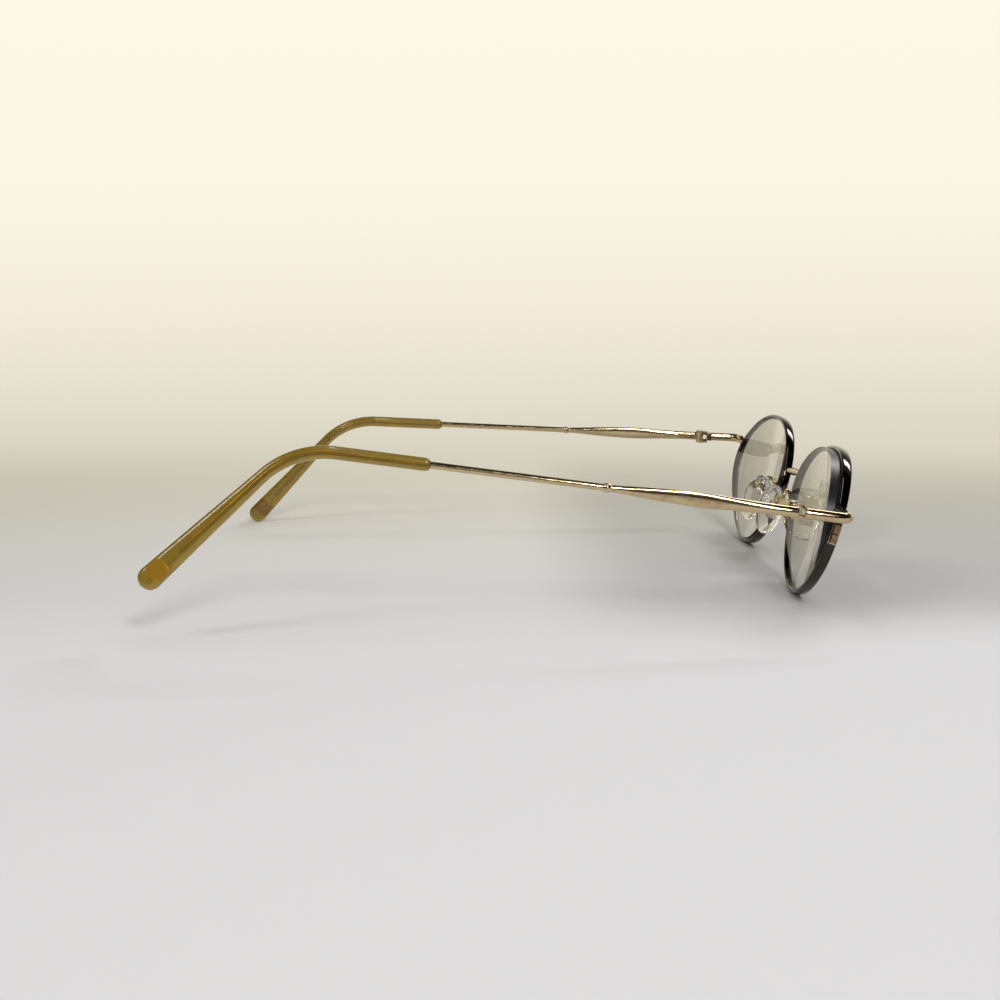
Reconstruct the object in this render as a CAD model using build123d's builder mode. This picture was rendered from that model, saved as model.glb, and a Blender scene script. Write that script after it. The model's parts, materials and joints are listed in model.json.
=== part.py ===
from build123d import *
import math
import os

# Oval eyeglasses of gold plated wire, with folding temples and clear nose pads
# Lengths are millimetres and angles degrees
# +X points to the wearer's left, +Y to the ears and +Z up
# The origin is on the table, under the middle of the whole pair
# Both sides are built as the left one, and the right one is mirrored across X

sides = ("left", "right")

# Where the front stands and how it leans
front_height = 15.96
front_tilt = 15.92
lens_out = 32.3
wrap_angle = 2.8
hinge_out = 65.75
hinge_rise = 4.3
hinge_back = 14.42

# Eyewire, the rim round each lens
rim_half_width = 23.6
rim_half_height = 16.9
rim_curve = 158.9
rim_depth = 2.3
rim_wall = 0.5
rim_thickness = 1.0
rim_round = 0.3
rim_gap = 0.16
rim_split_rise = 1.1
outline_steps = 16
sine_shares = (0.037, 0.0265, 0.028)
cosine_shares = (0, 0, 0.010, 0.006)

# Lens, ground to each eye
lens_set = 0.35
lens_fit = 0.02
lens_rear_radius = 90.0
lens_rear_set = 1.73
optical_out = -0.5
optical_rise = {"left": 2.3, "right": -8.5}
bevel_set = 0.75
bevel_width = 0.9
bevel_land = 1.2

# Closing blocks that pull the eyewire shut, and their screw
block_out = 2.1
block_depth = 1.8
block_set = 0.25
block_round = 0.45
upper_block_height = 1.9
lower_block_height = 1.7
closing_screw_radius = 0.55
closing_head_radius = 0.85
closing_head_height = 0.5
closing_clearance = 0.05

# End piece, the round bar from the eyewire to the hinge
bar_radius = 1.1
end_leg = 9.9
end_bend_radius = 2.7
end_attach_out = 51.0
end_attach_back = 4.2
bar_gap = 1.2
bar_end_round = 0.4

# Hinge on the inner side of the bar
hinge_axis_back = 1.5
hinge_axis_in = 2.2
barrel_radius = 1.0
barrel_height = 3.2
knuckle_gap = 0.03
leaf_gap = 0.12
leaf_set = 0.3
front_leaf_length = 1.4
front_leaf_height = 2.0
temple_leaf_length = 4.9
temple_leaf_height = 1.1
hinge_screw_radius = 0.6
hinge_head_radius = 0.9
hinge_head_height = 0.35
hinge_clearance = 0.04

# Temple, a bar with a leaf shaped swelling that carries on as a wire in the tip
temple_pitch = {"left": 12.8, "right": 8.1}
toe_in = 0.6
butt_length = 5.0
swell_end = 38.2
swell_shares = ((0, 1.0, 1.0), (0.2, 1.12, 0.86), (0.46, 1.38, 0.66), (0.72, 1.14, 0.66), (1, 0.66, 0.66))
wire_radius = 0.726
bead_radius = 0.98
bead_reach = 0.9
core_radius = 0.5
core_short = 9.6

# Plastic tip over the end of the temple, bent down behind the ear
tip_start = 74.0
bend_start = 92.9
bend_radius = 18.2
bend_drop = 49.75
tail_length = 31.9
tip_flare = 10.2
tip_height = 2.7
tip_thickness = 2.5
tip_round = 1.0
tip_front_round = 1.25
paddle_radius = 2.45

# Bare plaque let into the outer side of the tip
plaque_share = 0.93
plaque_length = 4.0
plaque_height = 3.6
plaque_corner = 0.9
plaque_thickness = 0.5
plaque_proud = 0.12

# Bridge between the eyewires
bridge_rise = 5.35
bridge_back = 1.9
bridge_bow = 0.9
bridge_lift = 1.1
bridge_height = 1.8
bridge_thickness = 1.4
bridge_overlap = 2.4

# Nose pads, their boxes, screws and arms
pad_out = 8.8
pad_drop = 2.8
pad_back = 7.6
pad_splay = 22.0
pad_lean = 12.0
pad_turn = -7.5
pad_length = 11.8
pad_width = 6.6
pad_edge = 0.9
pad_dome_height = 1.3
step_inset = 0.9
step_height = 0.4
plate_length = 4.2
plate_width = 2.6
plate_thickness = 0.4
box_rise = 1.7
box_length = 2.6
box_height = 2.4
box_reach = 2.6
box_wall = 0.6
box_floor = 0.4
box_gap = 0.5
box_round = 0.3
tab_clearance = 0.05
tab_height = 1.4
pad_screw_radius = 0.4
pad_head_radius = 0.7
pad_head_height = 0.35
pad_clearance = 0.04
arm_radius = 0.47
arm_foot_out = 12.2
arm_foot_drop = 7.5
arm_foot_back = 1.7
arm_leg_out = 8.85
arm_leg_drop = 4.0
arm_leg_back = 3.4
arm_neck_rise = 1.0
arm_neck_back = 3.5
arm_top_out = 8.95
arm_top_rise = 2.7
arm_top_back = 4.4
arm_fillet_radius = 1.4

# Screw slots and one overrun for every cut
slot_width = 0.25
slot_depth = 0.2
overrun = 9.0

# The pair is set so that its longest side lies evenly about the origin
rear_slope = math.radians(front_tilt - temple_pitch["right"])
straight_reach = bend_start * math.cos(rear_slope)
bend_reach = bend_radius * math.sin(math.radians(bend_drop))
paddle_reach = tail_length - paddle_radius
tail_reach = paddle_reach * math.cos(math.radians(bend_drop))
tail_fall = bend_radius * (1 - math.cos(math.radians(bend_drop)))
tail_fall += paddle_reach * math.sin(math.radians(bend_drop))
rear_reach = straight_reach + (bend_reach + tail_reach) * math.cos(rear_slope)
rear_reach += tail_fall * math.sin(rear_slope) + paddle_radius
lean = math.radians(front_tilt)
hinge_y = hinge_back * math.cos(lean) - hinge_rise * math.sin(lean)
rim_sag = rim_half_height * rim_half_height / (2 * rim_curve)
front_overhang = rim_half_height * math.sin(lean) - rim_sag * math.cos(lean)
front_y = -(rear_reach + hinge_y - front_overhang) / 2

front_plane = Plane(
    origin=(0, front_y, front_height),
    x_dir=(1, 0, 0),
    z_dir=(0, -math.cos(lean), -math.sin(lean)),
)
lens_plane = Plane(front_plane.location * Location((lens_out, 0, 0), (0, wrap_angle, 0)))
rim_centre = lens_plane.offset(-rim_curve)


def front_point(out, rise, back):
    """Gives a point measured out from the middle, up the front and back from it."""
    return front_plane.from_local_coords((out, rise, -back))


def make_temple_plane(side):
    """Gives the plane at the left hinge: X along the temple, Y up, Z outwards."""
    pitch = math.radians(temple_pitch[side])
    start = front_point(hinge_out, hinge_rise, hinge_back)
    rearward = front_point(hinge_out, hinge_rise - math.sin(pitch), hinge_back + math.cos(pitch))
    level = Plane(origin=start, x_dir=rearward - start, z_dir=(1, 0, 0))
    return Plane(level.location * Rot(0, toe_in, 0))


def rim_points(inset):
    """Gives points of the eyewire's oval, fuller at the top and the temple side."""
    points = []
    for step in range(outline_steps):
        turn = math.tau * step / outline_steps
        swell = 1
        for order, share in enumerate(sine_shares, start=1):
            swell += share * math.sin(order * turn)
        for order, share in enumerate(cosine_shares, start=1):
            swell += share * math.cos(order * turn)
        across = (rim_half_width - inset) * swell * math.cos(turn)
        up = (rim_half_height - inset) * swell * math.sin(turn)
        points.append((across, up))
    return points


def make_band(outer_inset, inner_inset, front_set, depth):
    """Makes an oval band that follows the front's curve."""
    with BuildPart() as band:
        with BuildSketch(lens_plane.offset(overrun)):
            with BuildLine():
                Spline(*rim_points(outer_inset), periodic=True)
            make_face()
            with BuildLine():
                Spline(*rim_points(inner_inset), periodic=True)
            make_face(mode=Mode.SUBTRACT)
        extrude(amount=-2 * overrun)
        with Locations(rim_centre):
            Sphere(rim_curve - front_set, rotation=(90, 0, 0), mode=Mode.INTERSECT)
            Sphere(rim_curve - front_set - depth, rotation=(90, 0, 0), mode=Mode.SUBTRACT)
    return band


def make_lens(side):
    """Makes a lens with the bevel that sits in the eyewire's groove."""
    bevel_out = rim_wall + lens_fit
    bevel = make_band(bevel_out, rim_thickness + bevel_land, bevel_set, bevel_width)
    rear_centre = lens_plane.offset(-lens_rear_set - lens_rear_radius).location
    rear_centre = rear_centre * Pos(optical_out, optical_rise[side], 0)
    with BuildPart() as lens:
        with BuildSketch(lens_plane.offset(overrun)):
            with BuildLine():
                Spline(*rim_points(rim_thickness + lens_fit), periodic=True)
            make_face()
        extrude(amount=-2 * overrun)
        with Locations(rim_centre):
            Sphere(rim_curve - lens_set, rotation=(90, 0, 0), mode=Mode.INTERSECT)
        with Locations(rear_centre):
            Sphere(lens_rear_radius, rotation=(90, 0, 0), mode=Mode.SUBTRACT)
        add(bevel.part)
    return lens


def make_rim_core():
    """Makes the whole space inside the eyewire's outer face, used to trim what meets it."""
    with BuildPart() as core:
        with BuildSketch(lens_plane.offset(overrun)):
            with BuildLine():
                Spline(*rim_points(0), periodic=True)
            make_face()
        extrude(amount=-2 * overrun)
    return core


def make_rim_slab(rim_core):
    """Makes the part of that space between the eyewire's front and back faces."""
    with BuildPart() as slab:
        add(rim_core.part)
        with Locations(rim_centre):
            Sphere(rim_curve, rotation=(90, 0, 0), mode=Mode.INTERSECT)
            Sphere(rim_curve - rim_depth, rotation=(90, 0, 0), mode=Mode.SUBTRACT)
    return slab


def make_eyewire():
    """Makes the grooved rim, split at the temple side."""
    band = make_band(0, rim_thickness, 0, rim_depth)
    groove = make_band(
        rim_wall, rim_thickness + bevel_land, bevel_set - lens_fit, bevel_width + 2 * lens_fit
    )
    with BuildPart() as eyewire:
        add(band.part)
        fillet(eyewire.edges().filter_by(GeomType.LINE, reverse=True), radius=rim_round)
        add(groove.part, mode=Mode.SUBTRACT)
        with Locations(lens_plane.location * Pos(rim_half_width, rim_split_rise, 0)):
            Box(4 * rim_thickness, rim_gap, 2 * overrun, mode=Mode.SUBTRACT)
    return eyewire


# Closing blocks stand on the eyewire's temple side
rim_reach = rim_points(0)[0][0]
block_back = rim_reach * rim_reach / (2 * rim_curve) + rim_depth / 2 + block_set
block_axis = rim_reach + block_out / 2
upper_bottom = rim_split_rise + rim_gap / 2
lower_top = rim_split_rise - rim_gap / 2


def make_screw(seat_plane, radius, length, head_radius, head_height):
    """Makes a slotted screw whose shank runs along the plane's Z and head lies below it."""
    with BuildPart() as screw:
        with BuildSketch(seat_plane):
            Circle(radius)
        extrude(amount=length)
        with BuildSketch(seat_plane):
            Circle(head_radius)
        extrude(amount=-head_height)
        rim_edge = screw.edges().sort_by(Axis(seat_plane.origin, seat_plane.z_dir))[0]
        fillet(rim_edge, radius=head_height / 3)
        with BuildSketch(seat_plane.offset(-head_height)):
            Rectangle(2 * head_radius, slot_width)
        extrude(amount=slot_depth, mode=Mode.SUBTRACT)
    return screw


def make_closing_screw():
    """Makes the slotted screw that enters from below."""
    seat = lens_plane.from_local_coords((block_axis, lower_top - lower_block_height, -block_back))
    seat_plane = Plane(origin=seat, x_dir=lens_plane.x_dir, z_dir=lens_plane.y_dir)
    length = lower_block_height + rim_gap + upper_block_height
    return make_screw(
        seat_plane, closing_screw_radius, length, closing_head_radius, closing_head_height
    )


def make_block(bottom, height, bore_radius, rim_core):
    """Makes one closing block, fitted to the eyewire's outer face."""
    middle = lens_plane.location * Pos(rim_reach, bottom + height / 2, -block_back)
    with BuildPart() as block:
        with Locations(middle):
            Box(2 * block_out, height, block_depth)
        upright = Axis(lens_plane.origin, lens_plane.y_dir)
        outward = Axis(lens_plane.origin, lens_plane.x_dir)
        outer_edges = block.edges().filter_by(upright).sort_by(outward)[-2:]
        fillet(outer_edges, radius=block_round)
        add(rim_core.part, mode=Mode.SUBTRACT)
        bore = lens_plane.location * Pos(block_axis, bottom + height / 2, -block_back)
        with Locations(bore * Rot(90, 0, 0)):
            Cylinder(bore_radius, 2 * height, mode=Mode.SUBTRACT)
    return block


def make_end_piece(side, rim_core):
    """Makes the round bar that leaves the eyewire and turns back to the hinge."""
    temple_plane = make_temple_plane(side)
    corner = temple_plane.from_local_coords((-end_leg, 0, 0))
    corner_rise = front_plane.to_local_coords(corner).Y
    end = temple_plane.from_local_coords((-bar_gap / 2, 0, 0))
    start = front_point(end_attach_out, corner_rise, end_attach_back)
    with BuildPart() as end_piece:
        with BuildLine() as path:
            FilletPolyline(start, corner, end, radius=end_bend_radius)
        with BuildSketch(Plane(origin=path.line @ 0, z_dir=path.line % 0)):
            Circle(bar_radius)
        sweep(path=path.line)
        end_edge = end_piece.edges().sort_by(Axis(temple_plane.origin, temple_plane.x_dir))[-1]
        fillet(end_edge, radius=bar_end_round)
        add(rim_core.part, mode=Mode.SUBTRACT)
    return end_piece


def make_hinge_plane(side):
    """Gives the plane of the hinge axis: X along the temple, Y inwards, Z up."""
    temple_plane = make_temple_plane(side)
    origin = temple_plane.from_local_coords((hinge_axis_back, 0, -hinge_axis_in))
    return Plane(origin=origin, x_dir=temple_plane.x_dir, z_dir=temple_plane.y_dir)


knuckle_height = barrel_height / 3 - knuckle_gap
knuckle_pitch = barrel_height / 3


def make_knuckle(hinge_plane, level, reach, bore_radius):
    """Makes one knuckle with the web that joins it to its leaf."""
    knuckle_plane = hinge_plane.offset(level * knuckle_pitch - knuckle_height / 2)
    with BuildPart() as knuckle:
        with BuildSketch(knuckle_plane):
            Circle(barrel_radius)
            with Locations((reach / 2, -(barrel_radius + leaf_set) / 2)):
                Rectangle(abs(reach), barrel_radius - leaf_set)
            Circle(bore_radius, mode=Mode.SUBTRACT)
        extrude(amount=knuckle_height)
    return knuckle


def make_hinge(side, levels, direction, leaf, bore_radius, bar):
    """Makes a hinge half: its knuckles and the leaf soldered to the bar."""
    hinge_plane = make_hinge_plane(side)
    leaf_start, leaf_length, leaf_height = leaf
    knuckles = [
        make_knuckle(hinge_plane, level, direction * (leaf_start + leaf_gap), bore_radius)
        for level in levels
    ]
    with BuildPart() as hinge:
        for knuckle in knuckles:
            add(knuckle.part)
        with BuildSketch(hinge_plane.offset(-leaf_height / 2)):
            middle = direction * (leaf_start + leaf_length / 2)
            with Locations((middle, -(leaf_set + hinge_axis_in) / 2)):
                Rectangle(leaf_length, hinge_axis_in - leaf_set)
        extrude(amount=leaf_height)
        add(bar.part, mode=Mode.SUBTRACT)
    return hinge


def make_hinge_screw(side):
    """Makes the hinge screw, with its head on top of the barrel."""
    hinge_plane = make_hinge_plane(side)
    seat = hinge_plane.offset(knuckle_pitch + knuckle_height / 2)
    seat_plane = Plane(origin=seat.origin, x_dir=seat.x_dir, z_dir=-seat.z_dir)
    length = 2 * knuckle_pitch + knuckle_height
    return make_screw(
        seat_plane, hinge_screw_radius, length, hinge_head_radius, hinge_head_height
    )


def make_bend_plane(side):
    """Gives the plane of the ear bend, which leans outwards below the temple."""
    temple_plane = make_temple_plane(side)
    return Plane(temple_plane.location * Rot(-tip_flare, 0, 0))


def make_tip_path(side, short):
    """Gives the centre line of the tip, straight, bent down and straight again."""
    with BuildLine(make_bend_plane(side)) as path:
        straight = Line((tip_start, 0), (bend_start, 0))
        bend = JernArc(
            start=straight @ 1, tangent=straight % 1, radius=bend_radius, arc_size=-bend_drop
        )
        PolarLine(bend @ 1, length=tail_length - short, direction=bend % 1)
    return path


def make_temple_bar(side):
    """Makes the metal bar with its swelling, bead, thin run and core wire."""
    temple_plane = make_temple_plane(side)
    core_path = make_tip_path(side, core_short)
    core_start = Plane(
        origin=temple_plane.from_local_coords((tip_start, 0, 0)),
        x_dir=temple_plane.y_dir,
        z_dir=temple_plane.x_dir,
    )
    butt_plane = Plane(
        origin=temple_plane.origin, x_dir=temple_plane.y_dir, z_dir=temple_plane.x_dir
    )
    with BuildPart() as bar:
        for share, height_share, width_share in swell_shares:
            reach = butt_length + share * (swell_end - butt_length)
            with BuildSketch(butt_plane.offset(reach)):
                Ellipse(bar_radius * height_share, bar_radius * width_share)
        loft()
        with BuildSketch(butt_plane.offset(bar_gap / 2)):
            Circle(bar_radius)
        extrude(amount=butt_length - bar_gap / 2)
        butt_edge = bar.edges().sort_by(Axis(temple_plane.origin, temple_plane.x_dir))[0]
        fillet(butt_edge, radius=bar_end_round)
        with BuildSketch(butt_plane.offset(swell_end)):
            Circle(wire_radius)
        extrude(amount=tip_start - swell_end)
        with Locations(butt_plane.offset(swell_end + bead_reach)):
            Sphere(bead_radius)
        with BuildSketch(core_start):
            Circle(core_radius)
        sweep(path=core_path.line)
    return bar


def make_tip(side, bar, plaque):
    """Makes the plastic tip, cut as a flat blank, rounded and bored for the core wire."""
    bend_plane = make_bend_plane(side)
    middle = Vector(bend_start, -bend_radius)
    fall = math.radians(bend_drop)
    paddle = middle + Vector(math.sin(fall), math.cos(fall)) * bend_radius
    paddle += Vector(math.cos(fall), -math.sin(fall)) * paddle_reach
    spread = (paddle - middle).length
    heading = math.degrees(math.atan2(paddle.Y - middle.Y, paddle.X - middle.X))
    upper_radius = bend_radius + tip_height / 2
    lower_radius = bend_radius - tip_height / 2
    upper_turn = heading + math.degrees(math.acos((upper_radius - paddle_radius) / spread))
    lower_turn = heading + math.degrees(math.acos((lower_radius + paddle_radius) / spread))
    with BuildPart() as tip:
        with BuildSketch(bend_plane) as blank:
            with BuildLine():
                top = Line((tip_start, tip_height / 2), (bend_start, tip_height / 2))
                upper = CenterArc(middle, upper_radius, 90, upper_turn - 90)
                end = CenterArc(paddle, paddle_radius, upper_turn, lower_turn - upper_turn - 180)
                lower = CenterArc(middle, lower_radius, lower_turn, 90 - lower_turn)
                Line(upper @ 1, end @ 0)
                Line(end @ 1, lower @ 0)
                Line(lower @ 1, (tip_start, -tip_height / 2))
                Line((tip_start, -tip_height / 2), top @ 0)
            make_face()
            fillet(blank.vertices().sort_by(Axis.X)[:2], radius=tip_front_round)
        extrude(amount=tip_thickness / 2, both=True)
        flat_faces = tip.faces().sort_by(Axis(bend_plane.origin, bend_plane.z_dir))
        fillet(flat_faces[0].edges() + flat_faces[-1].edges(), radius=tip_round)
        add(bar.part, mode=Mode.SUBTRACT)
        add(plaque.part, mode=Mode.SUBTRACT)
    return tip


def make_plaque(side):
    """Makes the bare plaque on the outer side of the tip."""
    bend_plane = make_bend_plane(side)
    path = make_tip_path(side, 0)
    face = Plane(
        origin=path.line @ plaque_share, x_dir=path.line % plaque_share, z_dir=bend_plane.z_dir
    ).offset(tip_thickness / 2 + plaque_proud - plaque_thickness)
    with BuildPart() as plaque:
        with BuildSketch(face):
            RectangleRounded(plaque_length, plaque_height, plaque_corner)
        extrude(amount=plaque_thickness)
    return plaque


def make_bridge(left_core, right_core):
    """Makes the bowed bridge, cut to both eyewires."""
    end_out = rim_points(0)[outline_steps // 2][0] + lens_out + bridge_overlap
    left_end = front_point(end_out, bridge_rise, bridge_back)
    right_end = front_point(-end_out, bridge_rise, bridge_back)
    middle = front_point(0, bridge_rise + bridge_lift, bridge_back - bridge_bow)
    with BuildPart() as bridge:
        with BuildLine() as path:
            ThreePointArc(left_end, middle, right_end)
        section = Plane(
            origin=path.line @ 0, x_dir=front_plane.y_dir, z_dir=path.line % 0
        )
        with BuildSketch(section):
            Ellipse(bridge_height / 2, bridge_thickness / 2)
        sweep(path=path.line)
        add(left_core.part, mode=Mode.SUBTRACT)
        add(right_core.part, mode=Mode.SUBTRACT)
    return bridge


# The pad's own plane has X across it, Y up it and Z towards the nose
pad_place = front_plane.location * Pos(pad_out, -pad_drop, -pad_back)
pad_place = pad_place * Rot(0, -90 - pad_splay, 0) * Rot(pad_lean, 0, 0) * Rot(0, 0, pad_turn)
pad_plane = Plane(pad_place)
pad_rear = pad_edge + 2 * step_height
pivot_depth = pad_rear + box_gap + box_reach / 2
pivot_place = pad_place * Pos(0, box_rise, -pivot_depth)


def make_plate():
    """Makes the metal plate moulded into the pad, with the tab that enters the box."""
    tab_width = box_length - 2 * box_wall - 2 * tab_clearance
    tab_depth = pivot_depth + tab_height / 2 - pad_edge
    with BuildPart() as plate:
        with Locations(pad_place * Pos(0, 0, -pad_edge - plate_thickness / 2)):
            Box(plate_width, plate_length, plate_thickness)
        with Locations(pad_place * Pos(0, box_rise, -pad_edge - tab_depth / 2)):
            Box(tab_width, tab_height, tab_depth)
        across = Axis(pad_plane.origin, pad_plane.x_dir)
        inward = Axis(pad_plane.origin, pad_plane.z_dir)
        nose_edges = plate.edges().filter_by(across).sort_by(inward)[:2]
        fillet(nose_edges, radius=tab_height / 3)
        with Locations(pivot_place * Rot(0, 90, 0)):
            Cylinder(pad_screw_radius + pad_clearance, 2 * box_length, mode=Mode.SUBTRACT)
    return plate


def make_pad(plate):
    """Makes the clear pad: a domed face to the nose and stepped rings behind."""
    with BuildPart() as pad:
        with BuildSketch(pad_plane.offset(-pad_edge)):
            Ellipse(pad_width / 2, pad_length / 2)
        extrude(amount=pad_edge + pad_dome_height)
        inward = Axis(pad_plane.origin, pad_plane.z_dir)
        fillet(pad.edges().sort_by(inward)[-1], radius=pad_dome_height)
        for ring in (1, 2):
            with BuildSketch(pad_plane.offset(-pad_edge - (ring - 1) * step_height)):
                inset = ring * step_inset
                Ellipse(pad_width / 2 - inset, pad_length / 2 - inset)
            extrude(amount=-step_height)
        add(plate.part, mode=Mode.SUBTRACT)
    return pad


def make_pad_box():
    """Makes the forked box that holds the pad's tab."""
    slot_size = box_length - 2 * box_wall
    with BuildPart() as pad_box:
        with Locations(pivot_place):
            Box(box_length, box_height, box_reach)
        fillet(pad_box.edges().filter_by(Axis(pad_plane.origin, pad_plane.x_dir)), radius=box_round)
        with Locations(pivot_place * Pos(0, 0, box_floor)):
            Box(slot_size, 2 * box_height, box_reach, mode=Mode.SUBTRACT)
        with Locations(pivot_place * Rot(0, 90, 0)):
            Cylinder(pad_screw_radius, 2 * box_length, mode=Mode.SUBTRACT)
    return pad_box


def make_pad_screw():
    """Makes the small screw through the box and the tab."""
    seat = Plane(pivot_place * Pos(-box_length / 2, 0, 0) * Rot(0, 90, 0))
    return make_screw(seat, pad_screw_radius, box_length, pad_head_radius, pad_head_height)


def make_pad_arm(rim_slab, pad_box):
    """Makes the wire arm that hooks over from the eyewire to the pad's box."""
    box_top = Plane(pivot_place * Pos(0, box_height / 2, -box_reach / 4))
    box_local = front_plane.to_local_coords(box_top.origin)
    foot = front_point(arm_foot_out, -arm_foot_drop, arm_foot_back)
    leg = front_point(arm_leg_out, -arm_leg_drop, arm_leg_back)
    neck = front_point(arm_leg_out, arm_neck_rise, arm_neck_back)
    top = front_point(arm_top_out, arm_top_rise, arm_top_back)
    over = front_point(box_local.X, arm_top_rise, -box_local.Z)
    with BuildPart() as arm:
        with BuildLine() as path:
            FilletPolyline(foot, leg, neck, top, over, box_top.origin, radius=arm_fillet_radius)
        with BuildSketch(Plane(origin=path.line @ 0, z_dir=path.line % 0)):
            Circle(arm_radius)
        sweep(path=path.line)
        add(rim_slab.part, mode=Mode.SUBTRACT)
        add(pad_box.part, mode=Mode.SUBTRACT)
    return arm


def turned(builder, side):
    """Gives the piece as built for the left side, or mirrored for the right one."""
    if side == "left":
        return builder.part
    return mirror(builder.part, about=Plane.YZ)


os.makedirs("parts", exist_ok=True)
rim_core = make_rim_core()
eyewire = make_eyewire()
upper_block = make_block(upper_bottom, upper_block_height, closing_screw_radius, rim_core)
lower_block = make_block(
    lower_top - lower_block_height,
    lower_block_height,
    closing_screw_radius + closing_clearance,
    rim_core,
)
plate = make_plate()
pad = make_pad(plate)
pad_box = make_pad_box()
pad_arm = make_pad_arm(make_rim_slab(rim_core), pad_box)
closing_screw = make_closing_screw()
pad_screw = make_pad_screw()
closing_screws = []
hinge_screws = []
pad_screws = []

for side in sides:
    end_piece = make_end_piece(side, rim_core)
    front_leaf = (hinge_axis_back + bar_gap / 2, front_leaf_length, front_leaf_height)
    front_hinge = make_hinge(side, (-1, 1), -1, front_leaf, hinge_screw_radius, end_piece)
    temple_bar = make_temple_bar(side)
    temple_leaf = (barrel_radius + leaf_gap, temple_leaf_length, temple_leaf_height)
    bore_radius = hinge_screw_radius + hinge_clearance
    temple_hinge = make_hinge(side, (0,), 1, temple_leaf, bore_radius, temple_bar)
    plaque = make_plaque(side)
    pieces = {
        "lens": make_lens(side),
        "eyewire": eyewire,
        "upper_closing_block": upper_block,
        "lower_closing_block": lower_block,
        "end_piece": end_piece,
        "front_hinge": front_hinge,
        "temple_hinge": temple_hinge,
        "temple_bar": temple_bar,
        "temple_tip": make_tip(side, temple_bar, plaque),
        "tip_plaque": plaque,
        "pad_plate": plate,
        "nose_pad": pad,
        "pad_box": pad_box,
        "pad_arm": pad_arm,
    }
    for name, builder in pieces.items():
        piece = turned(builder, side)
        piece.label = f"{side}_{name}"
        export_step(piece, f"parts/{side}_{name}.step")
    closing_screws.append(turned(closing_screw, side))
    hinge_screws.append(turned(make_hinge_screw(side), side))
    pad_screws.append(turned(pad_screw, side))

mirrored_core = BuildPart()
with mirrored_core:
    mirror(rim_core.part, about=Plane.YZ)
bridge = make_bridge(rim_core, mirrored_core)
bridge.part.label = "bridge"
export_step(bridge.part, "parts/bridge.step")

# Like screws share a node
for name, screws in (
    ("closing_screws", closing_screws),
    ("hinge_screws", hinge_screws),
    ("pad_screws", pad_screws),
):
    group = Compound(label=name, children=screws)
    export_step(group, f"parts/{name}.step")
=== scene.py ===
import json
import math

import bmesh
import bpy
from bpy.props import FloatProperty, FloatVectorProperty, PointerProperty
from mathutils import Matrix, Vector

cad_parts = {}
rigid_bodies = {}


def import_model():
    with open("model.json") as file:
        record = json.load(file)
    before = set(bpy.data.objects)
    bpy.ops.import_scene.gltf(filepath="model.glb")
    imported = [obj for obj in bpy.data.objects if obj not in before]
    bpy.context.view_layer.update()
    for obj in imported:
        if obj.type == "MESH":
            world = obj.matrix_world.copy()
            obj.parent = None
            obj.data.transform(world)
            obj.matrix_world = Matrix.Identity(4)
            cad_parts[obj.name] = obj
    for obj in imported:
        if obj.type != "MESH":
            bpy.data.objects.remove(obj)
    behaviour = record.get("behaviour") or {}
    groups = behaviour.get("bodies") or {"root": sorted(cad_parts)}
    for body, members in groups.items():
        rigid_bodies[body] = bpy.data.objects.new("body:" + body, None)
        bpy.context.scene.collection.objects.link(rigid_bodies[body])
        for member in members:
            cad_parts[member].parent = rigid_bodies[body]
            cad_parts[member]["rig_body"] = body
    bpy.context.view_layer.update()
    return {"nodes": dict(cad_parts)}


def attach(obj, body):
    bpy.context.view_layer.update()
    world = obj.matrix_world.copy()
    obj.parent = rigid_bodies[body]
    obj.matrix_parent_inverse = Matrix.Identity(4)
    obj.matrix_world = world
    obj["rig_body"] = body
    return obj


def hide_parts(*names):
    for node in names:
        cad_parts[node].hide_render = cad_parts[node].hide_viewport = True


bl_info = {
    "name": "Oval wire rim eyeglasses",
    "version": (1, 0, 0),
    "blender": (4, 5, 0),
    "location": "View3D > Sidebar > Eyeglasses",
    "description": "Builds the looks of a folding pair of oval wire rim eyeglasses",
    "category": "Object",
}

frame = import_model()

# Lengths here are millimetres, measured on the left side, as the solids are
MM = 0.001
SIDES = ("left", "right")

# Where the front stands, how it leans and where the hinges are
FRONT_Y = -69.975
FRONT_HEIGHT = 15.96
FRONT_TILT = 15.92
LENS_OUT = 32.3
WRAP_ANGLE = 2.8
HINGE_OUT = 65.75
HINGE_RISE = 4.3
HINGE_BACK = 14.42

# Eyewire, the rim round each lens
RIM_HALF_WIDTH = 23.6
RIM_HALF_HEIGHT = 16.9
RIM_CURVE = 158.9
RIM_DEPTH = 2.3
RIM_THICKNESS = 1.0
RIM_CROWN = 0.2
CROWN_SHARES = (-0.4, 0, 0.4)
SINE_SHARES = (0.037, 0.0265, 0.028)
COSINE_SHARES = (0, 0, 0.010, 0.006)
RIM_SPLIT_RISE = 1.1
RIM_GAP = 0.16
RIM_RINGS = 160
TURN_STEP = 0.01
CORNER_STEPS = 4

# Lens, ground to each eye
LENS_SET = 0.35
LENS_FIT = 0.02
LENS_REAR_RADIUS = 90.0
LENS_REAR_SET = 1.73
OPTICAL_OUT = -0.5
OPTICAL_RISE = {"left": 2.3, "right": -8.5}
BEVEL_SET = 0.75
BEVEL_WIDTH = 0.9
BEVEL_FIT = 0.05
LENS_RINGS = (0.05, 0.2, 0.4, 0.6, 0.8, 0.93, 0.99)
LENS_STEPS = 128
EDGE_BANDS = 4

# Temple, a bar with a leaf shaped swelling that carries on as a wire in the tip
TEMPLE_PITCH = {"left": 12.8, "right": 8.1}
TOE_IN = 0.6
BAR_RADIUS = 1.1
BAR_GAP = 1.2
BAR_END_ROUND = 0.4
BAR_END_RINGS = 6
BAR_STEPS = 48
BUTT_MIDDLE = 3.0
BUTT_LENGTH = 5.0
SWELL_END = 38.2
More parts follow.
